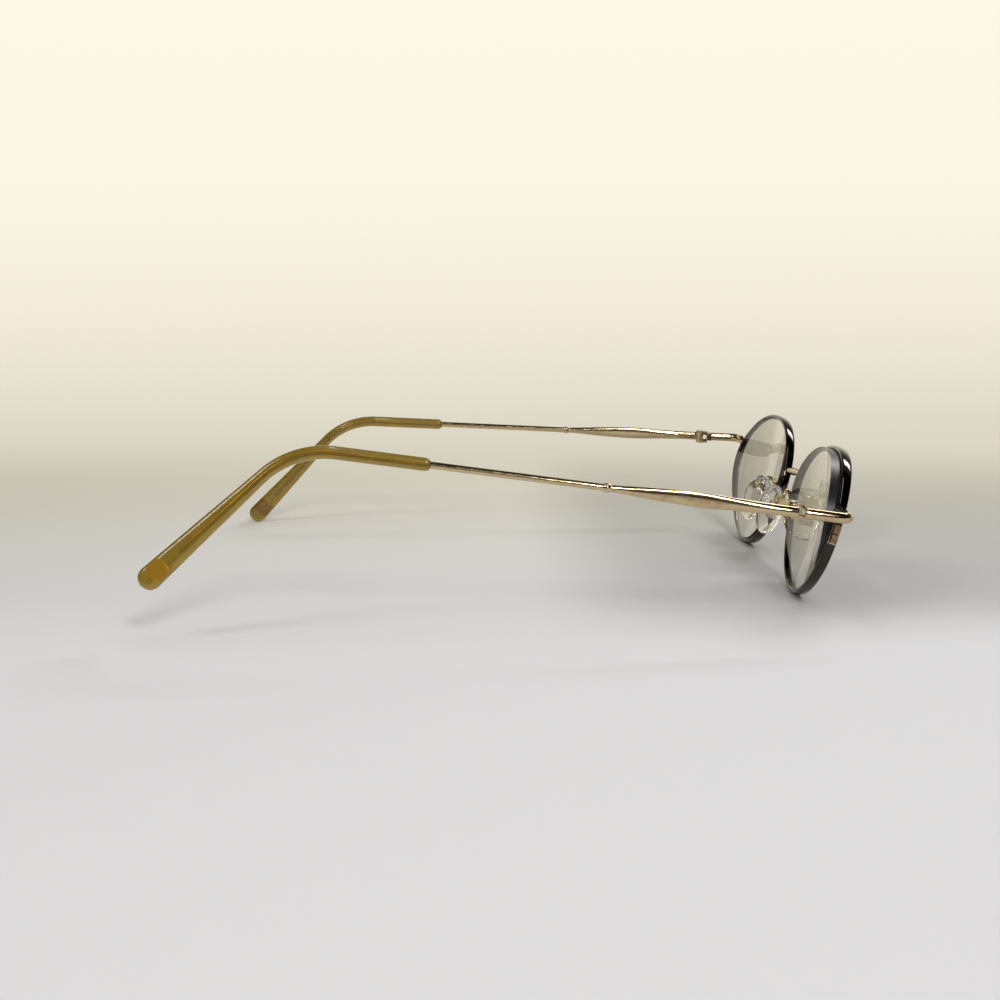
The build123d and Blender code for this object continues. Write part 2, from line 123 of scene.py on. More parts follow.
# The swelling's sections, each a share of its length and shares of the bar up and across
SWELL = (
    (0, 1.0, 1.0),
    (0.2, 1.12, 0.86),
    (0.46, 1.38, 0.66),
    (0.72, 1.14, 0.66),
    (1, 0.66, 0.66),
)
SWELL_FLATNESS = 1.6
SWELL_RINGS = 41
SWELL_STEP = 0.8
WIRE_RADIUS = 0.726
BEAD_RADIUS = 0.98
BEAD_AT = 39.1
BEAD_REACH = 0.95
BEAD_RINGS = 14
RUN_RINGS = 17
RUN_STEP = 2.0
RUN_OVERLAP = 0.4
CORE_RADIUS = 0.5
CORE_START = 0.5
CORE_SHORT = 9.6
CORE_RINGS = 120

# Plastic tip over the end of the temple, bent down behind the ear
TIP_START = 74.0
BEND_START = 92.9
BEND_RADIUS = 18.2
BEND_DROP = 49.75
TAIL_LENGTH = 31.9
TIP_FLARE = 10.2
TIP_HEIGHT = 2.7
TIP_THICKNESS = 2.5
TIP_ROUND = 1.0
TIP_FRONT_ROUND = 1.25
TIP_END_ROUND = 1.0
TIP_END_LEAST = 0.12
TIP_SQUARENESS = 2.6
TIP_RINGS = 220
TIP_STEPS = 48
PADDLE_RADIUS = 2.45
PADDLE_LEAST = 0.02

# Nose pad
PAD_OUT = 8.8
PAD_DROP = 2.8
PAD_BACK = 7.6
PAD_SPLAY = 22.0
PAD_LEAN = 12.0
PAD_TURN = -7.5
PAD_LENGTH = 11.8
PAD_WIDTH = 6.6
PAD_EDGE = 0.9
PAD_DOME = 1.3
DOME_RINGS = 8
FACE_INSETS = (3.1, 2.5, 1.8)
# Rounded edges, each a row of insets and of rises from the level where the edge starts
BACK_ROUND = ((0.0, 0.25), (0.08, 0.07), (0.25, 0.0))
BACK_STEPS = 4
STEP_INSET = 0.45
STEP_HEIGHT = 0.2
STEP_ROUND = ((-0.06, 0.0), (0.0, -0.05), (0.02, 0.06 - STEP_HEIGHT), (0.08, -STEP_HEIGHT))
BACK_INSETS = (2.5, 3.1)
PAD_RING_STEPS = 72

# Points nearer than this are one point
MERGE_DISTANCE = 0.0005
SOLID_MERGE_DISTANCE = 0.0001
BEVEL_FROM_ANGLE = 40

# Sizes of the marks in the materials, and the middle range of the noises
WEAR_PATCH = 14
WEAR_RANGE = (0.24, 0.4)
WEAR_MOST = 0.6
STEEL_GRAIN = 0.3
ACETATE_CLOUD = 5
PLAQUE_GRAIN = 0.5
EDGE_GRAIN = 0.4
VINYL_HAZE = 2
NOISE_MIDDLE = (0.3, 0.7)

# The paper lies flat under the pair and curves up behind it; metres from here on
PAPER_START = -1.4
PAPER_LENGTH = 4.0
PAPER_HALF_WIDTH = 3.0
PAPER_BEND = 0.35
PAPER_RADIUS = 0.6
PAPER_SEGMENTS = 80
# Tones along the paper and up it, over a range of the distance and height together; the greyer
# tones just round the pair are painted shade
PAPER_RANGE = (-0.25, 1.1)
PAPER_TONES = (
    (0, "#dedee0"),
    (0.13, "#dcdcde"),
    (0.165, "#d5d5d5"),
    (0.2, "#d6d5d1"),
    (0.3, "#d7d2c1"),
    (0.44, "#dfd9c8"),
    (0.53, "#e7e1cf"),
    (0.63, "#f1ead8"),
    (0.81, "#fcf6e5"),
    (1, "#fdf8e7"),
)
# The shade beside the front starts and ends over ranges of Y and of that distance
PAPER_SHADE = (0.72, 0.72, 0.72)
SHADE_ACROSS = (0.0, -0.04)
SHADE_ALONG = ((-0.08, -0.03), (0.26, 0.08))
# From here on the paper glows with its colour as written for the camera, through glass and in
# mirrors: painted light in place of lamp light
GLOW_RANGE = (0.08, 0.3)
# Towards the camera and up the wall, mirrors see a painted dark reflection on the paper
DARK_REFLECTION_NEAR = (-0.24, -0.33)
DARK_REFLECTION_HIGH = (0.25, 0.6)
DARK_REFLECTION_MOST = 0.85

# Each lamp's name, place, aim, size, watts and colour, and whether metal mirrors it.
# The tubes over the pair give the bars long highlights.
DOWN = (0, 0, -1)
LAMPS = (
    ("key", (-1.1, -0.33, 0.78), (1.1, 0.27, -0.78), (0.2, 0.3), 6.5, "#fffdfb", True),
    ("left_lamp", (-0.6, 0.7, 0.8), (0.6, -0.7, -0.8), (0.3, 0.3), 3.0, "#fffdfb", True),
    ("front_tube", (-0.15, -0.13, 0.38), DOWN, (0.4, 0.015), 0.14, "#ffffff", True),
    ("rear_tube", (-0.15, 0.035, 0.38), DOWN, (0.4, 0.015), 0.14, "#ffffff", True),
    ("back_panel", (0.31, -0.31, 0.38), DOWN, (0.12, 0.24), 1.0, "#ffffff", True),
    ("card", (-0.8, 0.15, 0.3), (1, 0, -0.25), (0.7, 0.45), 0.2, "#fff2dc", True),
    ("wide", (0.2, 0.0, 1.3), DOWN, (1.2, 1.2), 3.0, "#fbfcff", False),
)

# The camera stands off the right temple, a little above the pair
CAMERA_LENS = 54.88
CAMERA_SENSOR = 36
CAMERA_SPOT = (-0.363208, 0.007118, 0.074627)
CAMERA_TURN = (80.9384, 0.365, -90.9317)


def linear(code):
    """Turns an sRGB hex colour to the linear values that Blender works in."""
    values = [int(code[i : i + 2], 16) / 255 for i in (1, 3, 5)]
    return tuple(v / 12.92 if v <= 0.04045 else ((v + 0.055) / 1.055) ** 2.4 for v in values)


class EyeglassLooks(bpy.types.PropertyGroup):
    """Colours of the pieces"""

    plating: FloatVectorProperty(
        name="Plating",
        description="Colour of the gold plating where it is whole",
        subtype="COLOR",
        size=3,
        min=0,
        max=1,
        default=linear("#cab891"),
    )
    worn: FloatVectorProperty(
        name="Worn plating",
        description="Colour of the plating where hands have rubbed it",
        subtype="COLOR",
        size=3,
        min=0,
        max=1,
        default=linear("#b4936f"),
    )
    # Painted dark reflection: the rims' near-black colour stands in for the dark surroundings
    # that the polished metal mirrors
    rim: FloatVectorProperty(
        name="Rim plating",
        description="Colour of the dark plating on the rims",
        subtype="COLOR",
        size=3,
        min=0,
        max=1,
        default=linear("#3f3932"),
    )
    tip: FloatVectorProperty(
        name="Tip",
        description="Colour of the translucent plastic tips",
        subtype="COLOR",
        size=3,
        min=0,
        max=1,
        default=linear("#a28622"),
    )
    plaque: FloatVectorProperty(
        name="Plaque",
        description="Colour of the bare plaques on the tips",
        subtype="COLOR",
        size=3,
        min=0,
        max=1,
        default=linear("#dcac3a"),
    )
    lens: FloatVectorProperty(
        name="Lens",
        description="Tint of the lenses",
        subtype="COLOR",
        size=3,
        min=0,
        max=1,
        default=linear("#e5e2d9"),
    )
    # Painted shade: the edges' near-black colour stands in for the darkness they show through
    # the glass
    lens_edge: FloatVectorProperty(
        name="Lens edge",
        description="Colour of the lenses' ground edges",
        subtype="COLOR",
        size=3,
        min=0,
        max=1,
        default=linear("#1b191c"),
    )
    pad: FloatVectorProperty(
        name="Pad",
        description="Tint of the clear nose pads",
        subtype="COLOR",
        size=3,
        min=0,
        max=1,
        default=linear("#f4f1ea"),
    )


class EyeglassSizes(bpy.types.PropertyGroup):
    """Sizes of the fine roundings and of the wear"""

    rim_round: FloatProperty(
        name="Rim rounding",
        description="Radius of the rounding along the rims' edges",
        default=0.3 * MM,
        min=0.05 * MM,
        max=0.45 * MM,
        precision=5,
        unit="LENGTH",
    )
    small_round: FloatProperty(
        name="Small rounding",
        description="Radius of the rounding on blocks, boxes and hinges",
        default=0.08 * MM,
        min=0.02 * MM,
        max=0.2 * MM,
        precision=5,
        unit="LENGTH",
    )
    wear_size: FloatProperty(
        name="Wear size",
        description="Distance between worn spots in the plating",
        default=1.6 * MM,
        min=0.5 * MM,
        max=10 * MM,
        precision=5,
        unit="LENGTH",
    )


def looks():
    """Gives the colours of the scene."""
    return bpy.context.scene.eyeglass_looks


def sizes():
    """Gives the sizes of the scene, in millimetres."""
    held = bpy.context.scene.eyeglass_sizes
    return {key: getattr(held, key) / MM for key in ("rim_round", "small_round", "wear_size")}


def front_place():
    """Gives the front's place: X outwards, Y up the front, Z forwards."""
    lean = math.radians(FRONT_TILT)
    turn = Matrix(
        (
            (1, 0, 0),
            (0, -math.sin(lean), -math.cos(lean)),
            (0, math.cos(lean), -math.sin(lean)),
        )
    )
    return Matrix.Translation((0, FRONT_Y, FRONT_HEIGHT)) @ turn.to_4x4()


def lens_place():
    """Gives the place of the left lens, turned round the face."""
    out = Matrix.Translation((LENS_OUT, 0, 0))
    return front_place() @ out @ Matrix.Rotation(math.radians(WRAP_ANGLE), 4, "Y")


def temple_place(side):
    """Gives the place of the left temple: X along it, Y up and Z outwards."""
    pitch = math.radians(TEMPLE_PITCH[side])
    front = front_place()
    along = front.to_3x3() @ Vector((0, -math.sin(pitch), -math.cos(pitch)))
    outward = Vector((1, 0, 0))
    turn = Matrix((along, outward.cross(along), outward)).transposed()
    start = front @ Vector((HINGE_OUT, HINGE_RISE, -HINGE_BACK))
    toe = Matrix.Rotation(math.radians(TOE_IN), 4, "Y")
    return Matrix.Translation(start) @ turn.to_4x4() @ toe


def bend_place(side):
    """Gives the place of the ear bend, whose plane leans outwards below the temple."""
    return temple_place(side) @ Matrix.Rotation(math.radians(-TIP_FLARE), 4, "X")


def pad_place():
    """Gives the place of the left pad: X across it, Y up it and Z towards the nose."""
    place = front_place() @ Matrix.Translation((PAD_OUT, -PAD_DROP, -PAD_BACK))
    place = place @ Matrix.Rotation(math.radians(-90 - PAD_SPLAY), 4, "Y")
    place = place @ Matrix.Rotation(math.radians(PAD_LEAN), 4, "X")
    return place @ Matrix.Rotation(math.radians(PAD_TURN), 4, "Z")


def oval_swell(turn):
    """Gives how much the eyewire's oval is fuller than an ellipse at a turn."""
    swell = 1
    for order, share in enumerate(SINE_SHARES, start=1):
        swell += share * math.sin(order * turn)
    for order, share in enumerate(COSINE_SHARES, start=1):
        swell += share * math.cos(order * turn)
    return swell


def oval_point(turn):
    """Gives a point of the eyewire's oval in the lens plane."""
    swell = oval_swell(turn)
    across = RIM_HALF_WIDTH * swell * math.cos(turn)
    up = RIM_HALF_HEIGHT * swell * math.sin(turn)
    return Vector((across, up, 0))


def sink(point, radius, depth):
    """Gives how far a point of a sphere behind the lens plane lies from it."""
    reach = point.x * point.x + point.y * point.y
    return math.sqrt((radius - depth) ** 2 - reach) - radius


def start_ring(bm, points):
    """Makes a closed ring of edges through the points."""
    verts = [bm.verts.new(point) for point in points]
    return [bm.edges.new((a, b)) for a, b in zip(verts, verts[1:] + verts[:1])]


def next_ring(bm, edges, move):
    """Extrudes a ring of edges and moves the new one by a matrix or a function."""
    made = bmesh.ops.extrude_edge_only(bm, edges=edges)["geom"]
    verts = [item for item in made if isinstance(item, bmesh.types.BMVert)]
    if isinstance(move, Matrix):
        bmesh.ops.transform(bm, matrix=move, verts=verts)
    else:
        for vert in verts:
            vert.co = move(vert.co)
    return [item for item in made if isinstance(item, bmesh.types.BMEdge)]


def squared(point, power):
    """Moves a point to a unit ring: round for a power of 2, squarer for a larger one."""
    turn = math.atan2(point.y, point.x)
    across, up = math.cos(turn), math.sin(turn)
    reach = (abs(across) ** power + abs(up) ** power) ** (-1 / power)
    return Vector((across * reach, up * reach, 0))


def ring_points(count, power):
    """Gives a unit ring of points."""
    turns = [math.tau * (step + 0.5) / count for step in range(count)]
    return [squared(Vector((math.cos(turn), math.sin(turn), 0)), power) for turn in turns]


def sweep(bm, section, places, powers=None):
    """Runs a ring of points through a row of places and closes both ends."""
    edges = start_ring(bm, [places[0] @ point for point in section])
    first = edges
    for index in range(1, len(places)):
        back, place = places[index - 1].inverted(), places[index]
        if powers is None:
            edges = next_ring(bm, edges, place @ back)
        else:

            def move(co, back=back, place=place, power=powers[index]):
                return place @ squared(back @ co, power)

            edges = next_ring(bm, edges, move)
    bmesh.ops.holes_fill(bm, edges=first, sides=0)
    bmesh.ops.holes_fill(bm, edges=edges, sides=0)


def round_in(size, radius, reach):
    """Gives a half size at a reach from an end that is rounded by a radius."""
    inside = max(radius - reach, 0)
    return size - radius + math.sqrt(radius * radius - inside * inside)


def rounded_section(wide, high, radius):
    """Gives a ring round a rectangle with rounded corners."""
    points = []
    for across, up in ((1, 1), (-1, 1), (-1, -1), (1, -1)):
        start = math.atan2(up, across) - math.pi / 4
        centre = Vector((across * (wide / 2 - radius), up * (high / 2 - radius), 0))
        for step in range(CORNER_STEPS + 1):
            turn = start + math.pi / 2 * step / CORNER_STEPS
            points.append(centre + radius * Vector((math.cos(turn), math.sin(turn), 0)))
    return points


def path_places(points, upright):
    """Gives a place at each point, with Z along the path and X kept near upright."""
    places = []
    for index, point in enumerate(points):
        before, after = points[max(index - 1, 0)], points[min(index + 1, len(points) - 1)]
        along = (after - before).normalized()
        side = (upright - along * upright.dot(along)).normalized()
        turn = Matrix((side, along.cross(side), along)).transposed()
        places.append(Matrix.Translation(point) @ turn.to_4x4())
        upright = side
    return places


def tip_line(side, steps):
    """Gives the tip's centre line from the temple's end to the tip's end, and its lengths."""
    place = bend_place(side)
    bend_length = BEND_RADIUS * math.radians(BEND_DROP)
    straight = BEND_START - TIP_START
    whole = straight + bend_length + TAIL_LENGTH
    points = []
    lengths = [whole * step / steps for step in range(steps + 1)]
    for length in lengths:
        if length <= straight:
            point = Vector((TIP_START + length, 0, 0))
        elif length <= straight + bend_length:
            turn = (length - straight) / BEND_RADIUS
            down = BEND_RADIUS * (1 - math.cos(turn))
            point = Vector((BEND_START + BEND_RADIUS * math.sin(turn), -down, 0))
        else:
            turn = math.radians(BEND_DROP)
            rest = length - straight - bend_length
            down = BEND_RADIUS * (1 - math.cos(turn)) + rest * math.sin(turn)
            along = BEND_START + BEND_RADIUS * math.sin(turn) + rest * math.cos(turn)
            point = Vector((along, -down, 0))
        points.append(place @ point)
    return points, lengths


def finish_piece(bm, side, name, body, nodes, materials, sharp=35):
    """Turns a left piece in millimetres to its own side and hangs it on its body."""
    bmesh.ops.remove_doubles(bm, verts=bm.verts, dist=MERGE_DISTANCE)
    size = Matrix.Diagonal((MM if side == "left" else -MM, MM, MM, 1))
    bmesh.ops.transform(bm, matrix=size, verts=bm.verts)
    bmesh.ops.recalc_face_normals(bm, faces=bm.faces)
    mesh = bpy.data.meshes.new(name)
    bm.to_mesh(mesh)
    bm.free()
    for face in mesh.polygons:
        face.use_smooth = True
    mesh.set_sharp_from_angle(angle=math.radians(sharp))
    piece = bpy.data.objects.new(name, mesh)
    bpy.context.scene.collection.objects.link(piece)
    for material in materials:
        mesh.materials.append(material)
    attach(piece, body)
    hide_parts(*nodes)
    return piece


def smooth_copy(node, material, sharp=30, rounding=0.0):
    """Stands a merged and smoothed copy of a solid in its place."""
    source = frame["nodes"][node]
    bm = bmesh.new()
    bm.from_mesh(source.data)
    bmesh.ops.remove_doubles(bm, verts=bm.verts, dist=SOLID_MERGE_DISTANCE * MM)
    mesh = bpy.data.meshes.new(f"{node}_shown")
    bm.to_mesh(mesh)
    bm.free()
    for face in mesh.polygons:
        face.use_smooth = True
    mesh.set_sharp_from_angle(angle=math.radians(sharp))
    piece = bpy.data.objects.new(f"{node}_shown", mesh)
    bpy.context.scene.collection.objects.link(piece)
    mesh.materials.append(material)
    if rounding:
        bevel = piece.modifiers.new("Round edges", "BEVEL")
        bevel.width = rounding
        bevel.segments = 2
        bevel.limit_method = "ANGLE"
        bevel.angle_limit = math.radians(BEVEL_FROM_ANGLE)
        bevel.harden_normals = False
    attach(piece, source["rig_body"])
    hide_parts(node)
    return piece


def add_node(tree, kind, settings, links):
    """Adds a node, sets its inputs or properties, and links its inputs to outputs."""
    node = tree.nodes.new(kind)
    for key, value in settings.items():
        if isinstance(key, str) and hasattr(node, key):
            setattr(node, key, value)
        else:
            node.inputs[key].default_value = value
    for key, output in links.items():
        tree.links.new(output, node.inputs[key])
    return node


def object_place(tree):
    """Gives the object's own coordinates."""
    return add_node(tree, "ShaderNodeTexCoord", {}, {}).outputs["Object"]


def speckle(tree, place, size, detail, **more):
    """Gives a noise whose spots lie a size in millimetres apart."""
    settings = {"Scale": 1 / (size * MM), "Detail": detail, **more}
    return add_node(tree, "ShaderNodeTexNoise", settings, {"Vector": place}).outputs["Fac"]


def spread(tree, value, source, target=(0.0, 1.0), kind="LINEAR"):
    """Turns a value from one range to another."""
    settings = {
        "interpolation_type": kind,
        "From Min": source[0],
        "From Max": source[1],
        "To Min": target[0],
        "To Max": target[1],
    }
    return add_node(tree, "ShaderNodeMapRange", settings, {"Value": value}).outputs["Result"]


def calculate(tree, operation, first, second, clamp=False):
    """Gives the result of an operation on two values."""
    settings = {"operation": operation, "use_clamp": clamp}
    return add_node(tree, "ShaderNodeMath", settings, {0: first, 1: second}).outputs[0]


def tone_ramp(tree, value, stops):
    """Gives a colour that runs through stops, each a place and a linear colour."""
    node = add_node(tree, "ShaderNodeValToRGB", {}, {"Fac": value})
    elements = node.color_ramp.elements
    for element, (spot, colour) in zip(elements, (stops[0], stops[-1])):
        element.position = spot
        element.color = (*colour, 1)
    for spot, colour in stops[1:-1]:
        elements.new(spot).color = (*colour, 1)
    return node.outputs["Color"]


def mix_shaders(tree, share, first, second):
    """Mixes two shaders, the second one by the share."""
    links = {0: share, 1: first.outputs[0], 2: second.outputs[0]}
    return add_node(tree, "ShaderNodeMixShader", {}, links)


def shaded(colour, *shares):
    """Gives a colour times one share, or times a share for each channel."""
    if len(shares) == 1:
        shares *= 3
    return tuple(value * share for value, share in zip(colour, shares))


def new_material(name):
    """Starts a material with an empty node tree and an output."""
    material = bpy.data.materials.new(name)
    material.use_nodes = True
    tree = material.node_tree
    tree.nodes.clear()
    output = tree.nodes.new("ShaderNodeOutputMaterial")
    return material, tree, output


def surface(tree, output, settings, links):
    """Adds the shader with its settings and links, and shows it."""
    shader = add_node(tree, "ShaderNodeBsdfPrincipled", settings, links)
    tree.links.new(shader.outputs[0], output.inputs["Surface"])


def plated(name, whole, worn, dull):
    """Polished plating over a nickel alloy.

    It mirrors its surroundings, and hands have dulled and warmed it in small spots.
    """
    if name in bpy.data.materials:
        return bpy.data.materials[name]
    material, tree, output = new_material(name)
    place = object_place(tree)
    spots = speckle(tree, place, sizes()["wear_size"], 4.0, Roughness=0.62)
    patches = speckle(tree, place, WEAR_PATCH, 2.0)
    rubbed = calculate(tree, "MULTIPLY", spots, patches)
    amount = spread(tree, rubbed, WEAR_RANGE, (0.0, WEAR_MOST))
    colour = add_node(
        tree,
        "ShaderNodeMix",
        {"data_type": "RGBA", 6: (*whole, 1), 7: (*worn, 1)},
        {"Factor": amount},
    )
    rough = spread(tree, spots, NOISE_MIDDLE, (dull / 3, dull))
    links = {"Base Color": colour.outputs[2], "Roughness": rough}
    surface(tree, output, {"Metallic": 1.0}, links)
    return material


def gold_plated():
    """Pale gold plating, as on the temples and the small parts."""
    return plated("Gold plated nickel alloy", looks().plating, looks().worn, 0.2)


def rubbed_plated():
    """Gold plating rubbed through to its copper tone, as on the closing blocks."""
    return plated("Rubbed gold plating", shaded(looks().worn, 0.45), looks().worn, 0.25)


def rim_painted_dark():
    """Plating on the rims, painted near black: the dark colour is a painted reflection of the
    dark surroundings that the polished metal mirrors, and lamps show white in it.
    """
    return plated("Rim plating with painted dark reflection", looks().rim, shaded(looks().rim, 1.5), 0.08)


def steel():
    """Stainless steel, stamped and turned: grey, with a soft sheen and fine marks."""
    if "Stamped stainless steel" in bpy.data.materials:
        return bpy.data.materials["Stamped stainless steel"]
    material, tree, output = new_material("Stamped stainless steel")
    marks = speckle(tree, object_place(tree), STEEL_GRAIN, 3.0)
    rough = spread(tree, marks, NOISE_MIDDLE, (0.2, 0.38))
    tone = tone_ramp(tree, marks, ((0, linear("#c3bdb0")), (1, linear("#dcd6c8"))))
    surface(tree, output, {"Metallic": 1.0}, {"Base Color": tone, "Roughness": rough})
    return material


def amber_acetate():
    """Cellulose acetate, moulded and tumbled: cloudy amber that light passes into."""
    if "Translucent amber acetate" in bpy.data.materials:
        return bpy.data.materials["Translucent amber acetate"]
    material, tree, output = new_material("Translucent amber acetate")
    cloud = speckle(tree, object_place(tree), ACETATE_CLOUD, 3.0)
    deep = shaded(looks().tip, 0.8, 0.8, 0.75)
    tone = tone_ramp(tree, cloud, list(zip(NOISE_MIDDLE, (deep, looks().tip))))
    settings = {
        "Roughness": 0.24,
        "IOR": 1.48,
        "Transmission Weight": 0.75,
        "Coat Weight": 0.6,
        "Coat Roughness": 0.05,
    }
    surface(tree, output, settings, {"Base Color": tone})
    return material


def plaque_metal():
    """Brass plaque with a satin brushed face, left bare."""
    if "Satin brass plaque" in bpy.data.materials:
        return bpy.data.materials["Satin brass plaque"]
    material, tree, output = new_material("Satin brass plaque")
    brushed = {"Scale": (1.0, 1.0, 6.0)}
    grain = add_node(tree, "ShaderNodeMapping", brushed, {"Vector": object_place(tree)})
    marks = speckle(tree, grain.outputs["Vector"], PLAQUE_GRAIN, 3.0)
    deep = shaded(looks().plaque, 0.9, 0.86, 0.75)
    tone = tone_ramp(tree, marks, list(zip(NOISE_MIDDLE, (deep, looks().plaque))))
    surface(tree, output, {"Metallic": 0.9, "Roughness": 0.32}, {"Base Color": tone})
    return material


def lens_glass():
    """Ophthalmic crown, ground and polished: clear, with a faint warm grey tint."""
    if "Polished lens crown" in bpy.data.materials:
        return bpy.data.materials["Polished lens crown"]
    material, tree, output = new_material("Polished lens crown")
    settings = {
        "Base Color": (*looks().lens, 1),
        "Roughness": 0.0,
        "IOR": 1.5,
        "Transmission Weight": 1.0,
    }
    surface(tree, output, settings, {})
    return material


def ground_edge_painted_dark():
    """The lens's edge, ground on a wheel and matt, with painted shade: its near-black colour
    stands in for the darkness that the edge shows through the glass.
    """
    if "Ground lens edge painted dark" in bpy.data.materials:
        return bpy.data.materials["Ground lens edge painted dark"]
    material, tree, output = new_material("Ground lens edge painted dark")
    grain = speckle(tree, object_place(tree), EDGE_GRAIN, 3.0)
    deep = shaded(looks().lens_edge, 0.8)
    tone = tone_ramp(tree, grain, list(zip(NOISE_MIDDLE, (deep, looks().lens_edge))))
    surface(tree, output, {"Roughness": 0.35, "IOR": 1.5}, {"Base Color": tone})
    return material


def clear_vinyl():
    """Soft clear vinyl, moulded smooth, which bends light at its stepped rings."""
    if "Clear moulded vinyl" in bpy.data.materials:
        return bpy.data.materials["Clear moulded vinyl"]
    material, tree, output = new_material("Clear moulded vinyl")
    haze = speckle(tree, object_place(tree), VINYL_HAZE, 2.0)
    rough = spread(tree, haze, NOISE_MIDDLE, (0.02, 0.09))
    settings = {"Base Color": (*looks().pad, 1), "IOR": 1.46, "Transmission Weight": 1.0}
    surface(tree, output, settings, {"Roughness": rough})
    return material


class EYEGLASS_OT_eyewires(bpy.types.Operator):
    """Makes the two rims, each split on the temple side"""

    bl_idname = "eyeglass.eyewires"
    bl_label = "Eyewires"

    def execute(self, context):
        # The rim's section lies inwards of its outer face, which is slightly crowned
        half = RIM_DEPTH / 2
        section = rounded_section(RIM_THICKNESS, RIM_DEPTH, sizes()["rim_round"])
        section += [Vector((RIM_THICKNESS / 2, half * share, 0)) for share in CROWN_SHARES]
        section.sort(key=lambda point: math.atan2(point.y, point.x))
        for point in section:
            if point.x > 0:
                point.x -= RIM_CROWN * (point.y / half) ** 2
            point.x -= RIM_THICKNESS / 2
        gap_turn = RIM_GAP / 2 / RIM_HALF_HEIGHT
        split_turn = RIM_SPLIT_RISE / RIM_HALF_HEIGHT
        for side in SIDES:
            places = []
            for step in range(RIM_RINGS + 1):
                turn = split_turn + gap_turn + (math.tau - 2 * gap_turn) * step / RIM_RINGS
                point = oval_point(turn)
                ahead = oval_point(turn + TURN_STEP) - oval_point(turn - TURN_STEP)
                along = ahead.normalized()
                outward = Vector((along.y, -along.x, 0))
                point.z = sink(point, RIM_CURVE, half)
                forward = Vector((0, 0, 1))
                turned = Matrix((outward, forward, along)).transposed().to_4x4()
                places.append(lens_place() @ Matrix.Translation(point) @ turned)
            bm = bmesh.new()
            sweep(bm, section, places)
            finish_piece(
                bm,
                side,
                f"{side}_rim_wire",
                "front",
                [f"{side}_eyewire"],
                [rim_painted_dark()],
            )
        return {"FINISHED"}


def lens_loops(side):
    """Gives the lens's rings, from the front's middle round the edge to the rear's middle.

    Each has an inset from the rim's outer face, a share of the way out and a depth.
    """

    def front_depth(across, up):
        return sink(Vector((across, up, 0)), RIM_CURVE, LENS_SET)

    def rear_depth(across, up):
        reach = (across - OPTICAL_OUT) ** 2 + (up - OPTICAL_RISE[side]) ** 2
        start = -LENS_REAR_SET - LENS_REAR_RADIUS
        return start + math.sqrt(LENS_REAR_RADIUS**2 - reach)

    def bevel_depth(share):
        def depth(across, up):
            front = sink(Vector((across, up, 0)), RIM_CURVE, BEVEL_SET)
            return front - share * BEVEL_WIDTH

        return depth

    edge = RIM_THICKNESS + LENS_FIT
    peak = RIM_THICKNESS / 2 + BEVEL_FIT
    loops = [(edge, share, front_depth) for share in LENS_RINGS]
    loops += [(edge, 1.0, front_depth), (edge, 1.0, bevel_depth(0.0))]
    loops += [(peak, 1.0, bevel_depth(0.5)), (edge, 1.0, bevel_depth(1.0))]
    loops += [(edge, 1.0, rear_depth)]
    loops += [(edge, share, rear_depth) for share in reversed(LENS_RINGS)]
    return loops


class EYEGLASS_OT_lenses(bpy.types.Operator):
    """Makes the two lenses, domed in front, hollow behind and bevelled round the edge"""

    bl_idname = "eyeglass.lenses"
    bl_label = "Lenses"

    def execute(self, context):
        swells = []
        for step in range(LENS_STEPS):
            turn = math.tau * step / LENS_STEPS
            swell = oval_swell(turn)
            swells.append(Vector((swell * math.cos(turn), swell * math.sin(turn), 0)))
        for side in SIDES:
            bm = bmesh.new()
            first = edges = None
            last = (1.0, 1.0)
            for inset, share, depth in lens_loops(side):
                across = (RIM_HALF_WIDTH - inset) * share
                up = (RIM_HALF_HEIGHT - inset) * share
                if edges is None:
                    points = [Vector((p.x * across, p.y * up, 0)) for p in swells]
                    for point in points:
                        point.z = depth(point.x, point.y)
                    first = edges = start_ring(bm, points)
                else:
                    wide, high = across / last[0], up / last[1]

                    def move(co, wide=wide, high=high, depth=depth):
                        x, y = co.x * wide, co.y * high
                        return Vector((x, y, depth(x, y)))

                    edges = next_ring(bm, edges, move)
                last = (across, up)
            bmesh.ops.holes_fill(bm, edges=first, sides=0)
            bmesh.ops.holes_fill(bm, edges=edges, sides=0)
            # The bands of faces after the front's last ring are the ground edge
            first_band = len(LENS_RINGS)
            for index, face in enumerate(bm.faces):
                if index // LENS_STEPS in range(first_band, first_band + EDGE_BANDS):
                    face.material_index = 1
            bmesh.ops.transform(bm, matrix=lens_place(), verts=bm.verts)
            finish_piece(
                bm,
                side,
                f"{side}_lens_shown",
                "front",
                [f"{side}_lens"],
                [lens_glass(), ground_edge_painted_dark()],
            )
        return {"FINISHED"}


def swell_radii(share):
    """Gives the swelling's half height and half width, on smooth curves through its rows."""
    rows = [SWELL[0], *SWELL, SWELL[-1]]
    index = 1
    while share > rows[index + 1][0]:
        index += 1
    low, high = rows[index], rows[index + 1]
    part = (share - low[0]) / (high[0] - low[0])
    values = []
    for axis in (1, 2):
        a, b, c, d = (rows[index + k][axis] for k in (-1, 0, 1, 2))
        start, end = (c - a) / 2, (d - b) / 2
        values.append(
            (2 * part**3 - 3 * part**2 + 1) * b
            + (part**3 - 2 * part**2 + part) * start
            + (3 * part**2 - 2 * part**3) * c
            + (part**3 - part**2) * end
        )
    return BAR_RADIUS * values[0], BAR_RADIUS * values[1]


def bar_radii(length):
    """Gives the temple bar's half height and half width at a length from the hinge."""
    if length <= BUTT_LENGTH:
        radius = round_in(BAR_RADIUS, BAR_END_ROUND, length - BAR_GAP / 2)
        return radius, radius
    if length <= SWELL_END:
        return swell_radii((length - BUTT_LENGTH) / (SWELL_END - BUTT_LENGTH))
    away = abs(length - BEAD_AT)
    radius = WIRE_RADIUS
    if away < BEAD_RADIUS:
        radius = max(math.sqrt(BEAD_RADIUS**2 - away**2), WIRE_RADIUS)
    return radius, radius


